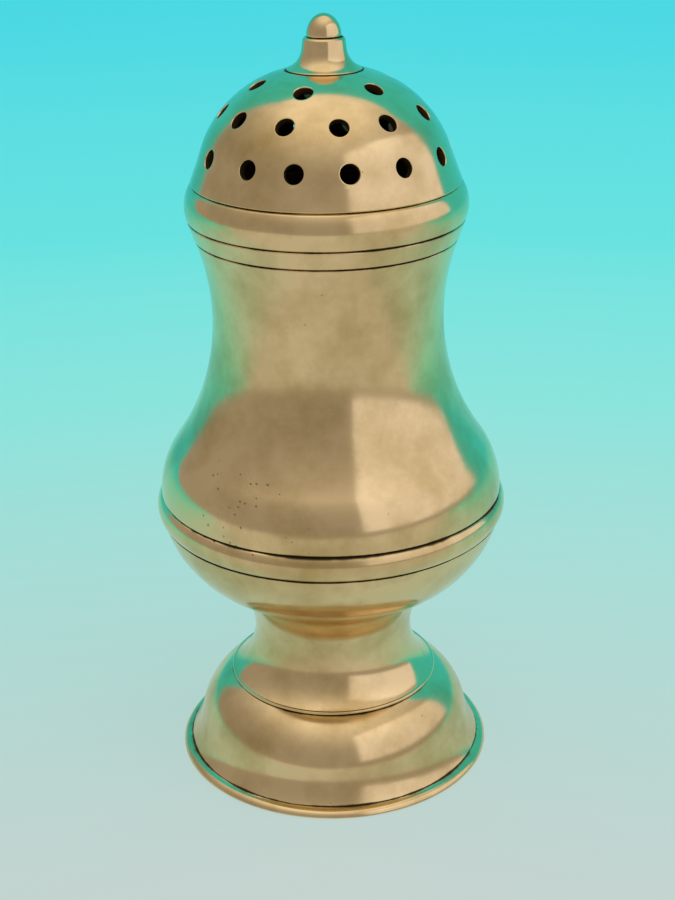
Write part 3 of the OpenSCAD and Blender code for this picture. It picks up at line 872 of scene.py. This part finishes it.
class CasterBuildStage(bpy.types.Operator):
    """Sets the floor and backdrop, the studio lamps and the camera"""

    bl_idname = "caster.build_stage"
    bl_label = "Stage"

    def execute(self, context):
        self.sweep(context)
        self.lamps(context)
        self.camera(context)
        context.scene.view_settings.view_transform = "Standard"
        return {"FINISHED"}

    def sweep(self, context):
        """Matt paper: a floor that curves up into the backdrop."""
        colours = context.scene.caster_finish
        bm = bmesh.new()
        front, back, bend, high = -1.6, 0.75, 0.5, 3.0
        left, wide = -1.4, 4.2
        wall = back + bend
        curve = [point(front, 0), *arc(point(back, bend), point(back, 0), point(wall, bend), count=24)]
        curve.append(point(wall, high))
        chain = [bm.verts.new((left, p.x, p.y)) for p in curve]
        edges = [bm.edges.new(pair) for pair in zip(chain, chain[1:])]
        sheet = bmesh.ops.extrude_edge_only(bm, edges=edges)["geom"]
        far = [part for part in sheet if isinstance(part, bmesh.types.BMVert)]
        bmesh.ops.translate(bm, verts=far, vec=(wide, 0, 0))
        bmesh.ops.recalc_face_normals(bm, faces=bm.faces)
        for face in bm.faces:
            face.smooth = True
        mesh = bpy.data.meshes.new("paper_sweep")
        bm.to_mesh(mesh)
        bm.free()
        sweep = bpy.data.objects.new("paper_sweep", mesh)
        context.scene.collection.objects.link(sweep)
        # Matt studio paper, graded in colour from the floor to the backdrop
        paper, tree, shader, place = new_finish("Matt studio paper, graded")
        # The colour deepens towards the back, and sooner out at the sides
        parts = add_node(tree, "ShaderNodeSeparateXYZ", {"Vector": place})
        aside = add_node(tree, "ShaderNodeMath", {0: parts.outputs["X"]}, operation="ABSOLUTE")
        depth = add_node(tree, "ShaderNodeMath", {0: aside.outputs[0], 2: parts.outputs["Y"]},
                         operation="MULTIPLY_ADD", inputs={1: 0.2})
        base = None
        shades = ((colours.haze, -0.08, 0.18), (colours.drape, 0.18, 0.36), (colours.backdrop, 0.3, 1.0))
        for shade, start, end in shades:
            blend = add_node(tree, "ShaderNodeMapRange", {"Value": depth.outputs[0]},
                             inputs={"From Min": start, "From Max": end})
            mixed = add_node(tree, "ShaderNodeMix", {"Factor": blend.outputs["Result"]}, data_type="RGBA")
            mixed.inputs["A"].default_value = (*colours.floor, 1)
            if base:
                tree.links.new(base.outputs["Result"], mixed.inputs["A"])
            mixed.inputs["B"].default_value = (*shade, 1)
            base = mixed
        tree.links.new(base.outputs["Result"], shader.inputs["Base Color"])
        shader.inputs["Roughness"].default_value = 0.9
        shader.inputs["Specular IOR Level"].default_value = 0.1
        # What the camera and the polished metal see is mostly the paper's own colour, with the shadow on it
        rays = add_node(tree, "ShaderNodeLightPath").outputs
        seen = add_node(tree, "ShaderNodeMath", {0: rays["Is Camera Ray"], 1: rays["Is Glossy Ray"]},
                        operation="MAXIMUM")
        seen = add_node(tree, "ShaderNodeMath", {0: seen.outputs[0], 1: rays["Is Transmission Ray"]},
                        operation="MAXIMUM")
        seen = add_node(tree, "ShaderNodeMath", {0: seen.outputs[0]}, operation="MULTIPLY",
                        inputs={1: 0.75})
        plain = add_node(tree, "ShaderNodeEmission", {"Color": base.outputs["Result"]},
                         inputs={"Strength": 1.0})
        sheet = add_node(tree, "ShaderNodeMixShader",
                         {0: seen.outputs[0], 1: shader.outputs[0], 2: plain.outputs[0]})
        tree.links.new(sheet.outputs[0], tree.nodes["Material Output"].inputs["Surface"])
        mesh.materials.append(paper)

    def lamps(self, context):
        """Even surround that grows lighter overhead, and a large soft lamp on the right."""
        world = bpy.data.worlds.new("Studio surround")
        world.use_nodes = True
        tree = world.node_tree
        toward = add_node(tree, "ShaderNodeTexCoord").outputs["Generated"]
        height = add_node(tree, "ShaderNodeSeparateXYZ", {"Vector": toward}).outputs["Z"]
        rise = add_node(tree, "ShaderNodeMapRange", {"Value": height},
                        inputs={"From Min": 0.2, "From Max": 0.93})
        curve = add_node(tree, "ShaderNodeMath", {0: rise.outputs["Result"]}, operation="POWER",
                         inputs={1: 3.0})
        light = add_node(tree, "ShaderNodeMapRange", {"Value": curve.outputs[0]},
                         inputs={"To Min": 0.39, "To Max": 1.0})
        tree.links.new(light.outputs["Result"], tree.nodes["Background"].inputs["Strength"])
        tree.nodes["Background"].inputs["Color"].default_value = (*hex_linear("#FFFCF6"), 1)
        context.scene.world = world
        radiance, wide, tall = 0.6, 1.4, 0.62
        lamp = bpy.data.lights.new("Soft lamp right", "AREA")
        lamp.shape = "RECTANGLE"
        lamp.size, lamp.size_y = wide, tall
        lamp.color = hex_linear("#E9EDFF")
        lamp.energy = radiance * math.pi * wide * tall
        holder = bpy.data.objects.new("Soft lamp right", lamp)
        holder.location = (0.666, -0.062, 0.4)
        holder.rotation_euler = (math.pi / 2, 0, math.radians(50))
        context.scene.collection.objects.link(holder)

    def camera(self, context):
        """Camera at the height and angle from which the caster is seen."""
        pitch, roll, yaw = 0.401081626, -0.0136931033, 0.00484863058
        ahead = Vector((math.sin(yaw) * math.cos(pitch), math.cos(yaw) * math.cos(pitch), -math.sin(pitch)))
        level = Vector((math.cos(yaw), -math.sin(yaw), 0))
        upright = level.cross(ahead)
        right = math.cos(roll) * level + math.sin(roll) * upright
        above = math.cos(roll) * upright - math.sin(roll) * level
        lens = bpy.data.cameras.new("Camera")
        lens.sensor_fit = "AUTO"
        lens.sensor_width = 36
        lens.lens = 64.7
        lens.clip_start = 0.01
        view = bpy.data.objects.new("Camera", lens)
        turned = Matrix((right, above, -ahead)).transposed().to_4x4()
        view.matrix_world = Matrix.Translation((0, -0.2565, 0.16536)) @ turned
        context.scene.collection.objects.link(view)
        context.scene.camera = view


BUILDERS = (
    CasterBuildFoot,
    CasterBuildStem,
    CasterBuildBody,
    CasterBuildCover,
    CasterBuildFinial,
    CasterBuildStage,
)
SIZES = {
    "caster_foot": CasterFootSizes,
    "caster_stem": CasterStemSizes,
    "caster_body": CasterBodySizes,
    "caster_cover": CasterCoverSizes,
    "caster_finial": CasterFinialSizes,
    "caster_finish": CasterFinish,
}


class CasterPanel(bpy.types.Panel):
    """Lists the caster's builders and sizes"""

    bl_idname = "VIEW3D_PT_caster"
    bl_label = "Sugar caster"
    bl_space_type = "VIEW_3D"
    bl_region_type = "UI"
    bl_category = "Caster"

    def draw(self, context):
        for builder in BUILDERS:
            self.layout.operator(builder.bl_idname)
        for name, group in SIZES.items():
            box = self.layout.box()
            box.label(text=group.__doc__)
            for key in group.__annotations__:
                box.prop(getattr(context.scene, name), key)


def register():
    for group in SIZES.values():
        bpy.utils.register_class(group)
    for builder in (*BUILDERS, CasterPanel):
        bpy.utils.register_class(builder)
    for name, group in SIZES.items():
        setattr(bpy.types.Scene, name, bpy.props.PointerProperty(type=group))


def unregister():
    for name in SIZES:
        delattr(bpy.types.Scene, name)
    for part in (CasterPanel, *BUILDERS, *SIZES.values()):
        bpy.utils.unregister_class(part)


def main():
    register()
    bpy.ops.caster.build_foot()
    bpy.ops.caster.build_stem()
    bpy.ops.caster.build_body()
    bpy.ops.caster.build_cover()
    bpy.ops.caster.build_finial()
    bpy.ops.caster.build_stage()


if __name__ == "__main__":
    main()
